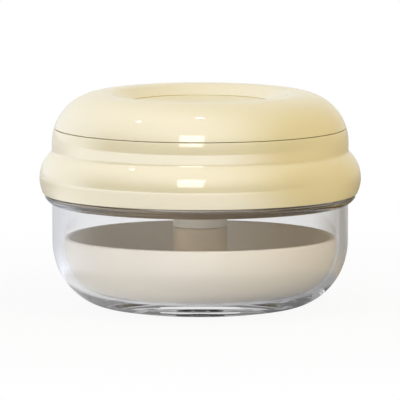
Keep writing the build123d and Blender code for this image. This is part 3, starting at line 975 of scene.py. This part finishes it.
def stepped(tree, source, span, low=0.0, high=1.0):
    """A smooth step between two values, over a span of the source."""
    node = tree.nodes.new("ShaderNodeMapRange")
    node.interpolation_type = "SMOOTHSTEP"
    for name, value in zip(("From Min", "From Max", "To Min", "To Max"), (*span, low, high)):
        node.inputs[name].default_value = value
    tree.links.new(source, node.inputs["Value"])
    return node.outputs["Result"]


def blended(tree, share, first, second):
    """A colour between two, each three plain numbers or a socket."""
    node = tree.nodes.new("ShaderNodeMix")
    node.data_type = "RGBA"
    tree.links.new(share, node.inputs[0])
    for socket, value in ((node.inputs[6], first), (node.inputs[7], second)):
        if isinstance(value, tuple):
            socket.default_value = (*value, 1.0)
        else:
            tree.links.new(value, socket)
    return node.outputs[2]


def surroundings(tree, way):
    """The light that gloss shows in a direction, or at a place that lies that way on the floor."""
    unit = tree.nodes.new("ShaderNodeVectorMath")
    unit.operation = "NORMALIZE"
    tree.links.new(way, unit.inputs[0])
    towards = tree.nodes.new("ShaderNodeVectorMath")
    towards.operation = "DOT_PRODUCT"
    towards.inputs[1].default_value = BRIGHT_WAY
    tree.links.new(unit.outputs["Vector"], towards.inputs[0])
    across = tree.nodes.new("ShaderNodeSeparateXYZ")
    tree.links.new(unit.outputs["Vector"], across.inputs["Vector"])
    dim = blended(tree, stepped(tree, across.outputs["X"], RIGHT_SPAN), BACK, RIGHT)
    return blended(tree, stepped(tree, towards.outputs["Value"], BRIGHT_SPAN), dim, BRIGHT)


def backdrop():
    """A pale floor that shows white and keeps a soft shadow, with a painted shadow near the object that glass
    sees in greys.
    """
    side = 3.0
    base_colour = (0.8, 0.8, 0.8, 1.0)
    data = bmesh.new()
    corners = [(-side, -side), (side, -side), (side, side), (-side, side)]
    data.faces.new([data.verts.new((x, y, 0)) for x, y in corners])
    floor = new_piece("floor", data)
    finish = Finish("pale_floor")
    tree = finish.tree
    lit = finish.shader.outputs["BSDF"]
    finish.put(Base_Color=base_colour, Roughness=0.9, Specular_IOR_Level=0.0)
    length = finish.add("ShaderNodeVectorMath", operation="LENGTH")
    finish.join(finish.place, length.inputs[0])
    distance = length.outputs["Value"]

    white = finish.add("ShaderNodeEmission")
    shown = finish.add("ShaderNodeMixShader")
    finish.join(stepped(tree, distance, SHADOW_SPAN, SHADOW_SHARE, 0.0), shown.inputs["Fac"])
    finish.join(white.outputs["Emission"], shown.inputs[1])
    finish.join(lit, shown.inputs[2])

    # Painted shadow: near the object, glass sees the floor grey, lighter at the left than at the right, and
    # pale further out
    across = finish.add("ShaderNodeSeparateXYZ")
    finish.join(finish.place, across.inputs["Vector"])
    grey = stepped(tree, across.outputs["X"], SIDES_SPAN, LEFT_SHADOW_GREY, RIGHT_SHADOW_GREY)
    fade = stepped(tree, distance, PALE_SPAN)
    lift = math_node(tree, "SUBTRACT", PALE, grey)
    through = finish.add("ShaderNodeEmission")
    finish.join(math_node(tree, "MULTIPLY_ADD", lift, fade, grey), through.inputs["Strength"])

    mirrored = finish.add("ShaderNodeEmission")
    away = stepped(tree, distance, MIRROR_SPAN)
    finish.join(blended(tree, away, grey, surroundings(tree, finish.place)), mirrored.inputs["Color"])
    backward = math_node(tree, "DIVIDE", across.outputs["Y"], distance)
    behind = math_node(tree, "MULTIPLY", away, stepped(tree, backward, BEHIND_SPAN))
    loss = stepped(tree, distance, LOSS_SPAN, NEAR_LOSS, FAR_LOSS)
    kept = math_node(tree, "MULTIPLY_ADD", behind, loss, 1.0)
    # Painted shadow: gloss sees the floor darker under the foot
    foot = stepped(tree, distance, FOOT_SPAN, FOOT_SHADOW_SHARE, 1.0)
    far_out = stepped(tree, distance, BOOST_SPAN, 1.0, BOOST)
    boost = math_node(tree, "MULTIPLY", foot, far_out)
    finish.join(math_node(tree, "MULTIPLY", boost, kept), mirrored.inputs["Strength"])

    surface = branch(tree, "Is Camera Ray", lit, shown.outputs["Shader"])
    surface = branch(tree, "Is Glossy Ray", surface, mirrored.outputs["Emission"])
    surface = branch(tree, "Is Transmission Ray", surface, through.outputs["Emission"])
    finish.join(surface, finish.output.inputs["Surface"])
    floor.data.materials.append(finish.material)


def card(name, corners, colour, soft=False):
    """A flat studio card that only the clear bowl shows; a soft one fades in to the sides of the object."""
    data = bmesh.new()
    data.faces.new([data.verts.new(corner) for corner in corners])
    sheet = new_piece(name, data)
    finish = Finish(name)
    tree = finish.tree
    glow = finish.add("ShaderNodeEmission")
    glow.inputs["Color"].default_value = (*colour, 1.0)
    surface = glow.outputs["Emission"]
    if soft:
        spot = finish.add("ShaderNodeSeparateXYZ")
        finish.join(finish.place, spot.inputs["Vector"])
        aside = math_node(tree, "ABSOLUTE", spot.outputs["X"])
        slant = math_node(tree, "ABSOLUTE", math_node(tree, "DIVIDE", aside, spot.outputs["Y"]))
        clear = stepped(tree, aside, ASIDE_SPAN)
        beside = stepped(tree, slant, SLANT_SPAN)
        nothing = finish.add("ShaderNodeBsdfTransparent")
        mix = finish.add("ShaderNodeMixShader")
        finish.join(math_node(tree, "MULTIPLY", clear, beside), mix.inputs["Fac"])
        finish.join(nothing.outputs["BSDF"], mix.inputs[1])
        finish.join(surface, mix.inputs[2])
        surface = mix.outputs["Shader"]
    finish.join(surface, finish.output.inputs["Surface"])
    sheet.data.materials.append(finish.material)
    for ray in ("camera", "diffuse", "glossy", "shadow"):
        setattr(sheet, f"visible_{ray}", False)


def floor_card(name, side, colour):
    """A soft card just over the floor, on the left (-1) or the right (1)."""
    height = 0.5 * MM
    edge = side * CARD_REACH
    spots = ((0, -CARD_REACH), (0, CARD_REACH), (edge, CARD_REACH), (edge, -CARD_REACH))
    card(name, [(x, y, height) for x, y in spots], colour, soft=True)


def upright_card(name, start, end, high, colour):
    """A card that stands between two directions, in degrees from the right towards the back."""
    corners = []
    for angle, height in ((start, 0.0), (end, 0.0), (end, high), (start, high)):
        turn = math.radians(angle)
        corners.append((CARD_REACH * math.cos(turn), CARD_REACH * math.sin(turn), height))
    card(name, corners, colour)


def area_lamp(name, azimuth, elevation, width, height, power, colour=WHITE, mirrored=False):
    """A soft lamp at angles from the front, which lights the object or is only mirrored in it."""
    light = bpy.data.lights.new(name, "AREA")
    light.shape = "RECTANGLE"
    light.size = width
    light.size_y = height
    light.energy = power
    light.color = colour
    lamp = bpy.data.objects.new(name, light)
    bpy.context.scene.collection.objects.link(lamp)
    turn, lift = math.radians(azimuth), math.radians(elevation)
    distance = 0.8
    middle = Vector((0, 0, 35 * MM))
    way = Vector((math.sin(turn) * math.cos(lift), -math.cos(turn) * math.cos(lift), math.sin(lift)))
    lamp.location = middle + distance * way
    lamp.rotation_euler = (-way).to_track_quat("-Z", "Y").to_euler()
    lamp.visible_camera = False
    lamp.visible_glossy = mirrored
    lamp.visible_diffuse = not mirrored


def studio():
    """Soft lamps at the left and above, a warm fill at the right, mirrored lamps, and cards for the bowl."""
    area_lamp("key", -66, 30, width=0.95, height=0.6, power=KEY)
    area_lamp("low", -50, 6, width=0.7, height=0.16, power=LOW)
    area_lamp("panel", -7, 31, width=0.24, height=0.36, power=PANEL, mirrored=True)
    area_lamp("top", 20, 84, width=0.5, height=0.5, power=TOP)
    area_lamp("fill", 52, 34, width=0.5, height=0.5, power=FILL, colour=WARM)
    area_lamp("catch_left", -86, 60, width=0.03, height=0.03, power=CATCH, mirrored=True)
    area_lamp("catch_top", 0, 89, width=0.05, height=0.02, power=CATCH, mirrored=True)
    floor_card("left_floor_card", -1, LEFT_FLOOR_CARD)
    floor_card("right_floor_card", 1, RIGHT_FLOOR_CARD)
    upright_card("left_card", 100, 175, high=0.5, colour=LEFT_CARD)
    upright_card("right_card", -25, 80, high=0.7, colour=RIGHT_CARD)


def world():
    """White all round for the camera and the glass, a gradient for gloss, and a plain low light on things."""
    place = bpy.data.worlds.new("studio")
    bpy.context.scene.world = place
    place.use_nodes = True
    tree = place.node_tree
    lit = tree.nodes["Background"]
    lit.inputs["Strength"].default_value = WORLD
    white = tree.nodes.new("ShaderNodeBackground")
    for light in (lit, white):
        light.inputs["Color"].default_value = (*WHITE, 1.0)
    mirrored = tree.nodes.new("ShaderNodeBackground")
    direction = tree.nodes.new("ShaderNodeTexCoord").outputs["Generated"]
    tree.links.new(surroundings(tree, direction), mirrored.inputs["Color"])
    parts = tree.nodes.new("ShaderNodeSeparateXYZ")
    tree.links.new(direction, parts.inputs["Vector"])
    low = stepped(tree, parts.outputs["Z"], LOW_SPAN, 1.0, 0.0)
    front = stepped(tree, parts.outputs["Y"], FRONT_SPAN, 1.0, 0.0)
    low_front = math_node(tree, "MULTIPLY", low, front)
    strength = math_node(tree, "MULTIPLY_ADD", low_front, LOW_LOSS, 1.0)
    tree.links.new(strength, mirrored.inputs["Strength"])
    surface = branch(tree, "Is Camera Ray", lit.outputs["Background"], white.outputs["Background"])
    surface = branch(tree, "Is Glossy Ray", surface, mirrored.outputs["Background"])
    surface = branch(tree, "Is Transmission Ray", surface, white.outputs["Background"])
    tree.links.new(surface, tree.nodes["World Output"].inputs["Surface"])


def camera():
    """A very long lens, nearly without perspective, a little above the object."""
    distance = 2.5
    elevation = math.radians(6.5)
    sensor = 36.0
    shown_width = 124.5 * MM
    aim = Vector((-0.06 * MM, 0, 33.4 * MM))
    lens = bpy.data.cameras.new("view")
    lens.sensor_width = sensor
    lens.lens = sensor * distance / shown_width
    lens.clip_end = 20
    eye = bpy.data.objects.new("view", lens)
    bpy.context.scene.collection.objects.link(eye)
    eye.location = aim + distance * Vector((0, -math.cos(elevation), math.sin(elevation)))
    eye.rotation_euler = (aim - eye.location).to_track_quat("-Z", "Y").to_euler()
    bpy.context.scene.camera = eye


dress(make_materials())
backdrop()
studio()
world()
camera()
bpy.context.scene.view_settings.view_transform = "Standard"
for kind in ("max_bounces", "glossy_bounces", "transmission_bounces"):
    setattr(bpy.context.scene.cycles, kind, BOUNCES)
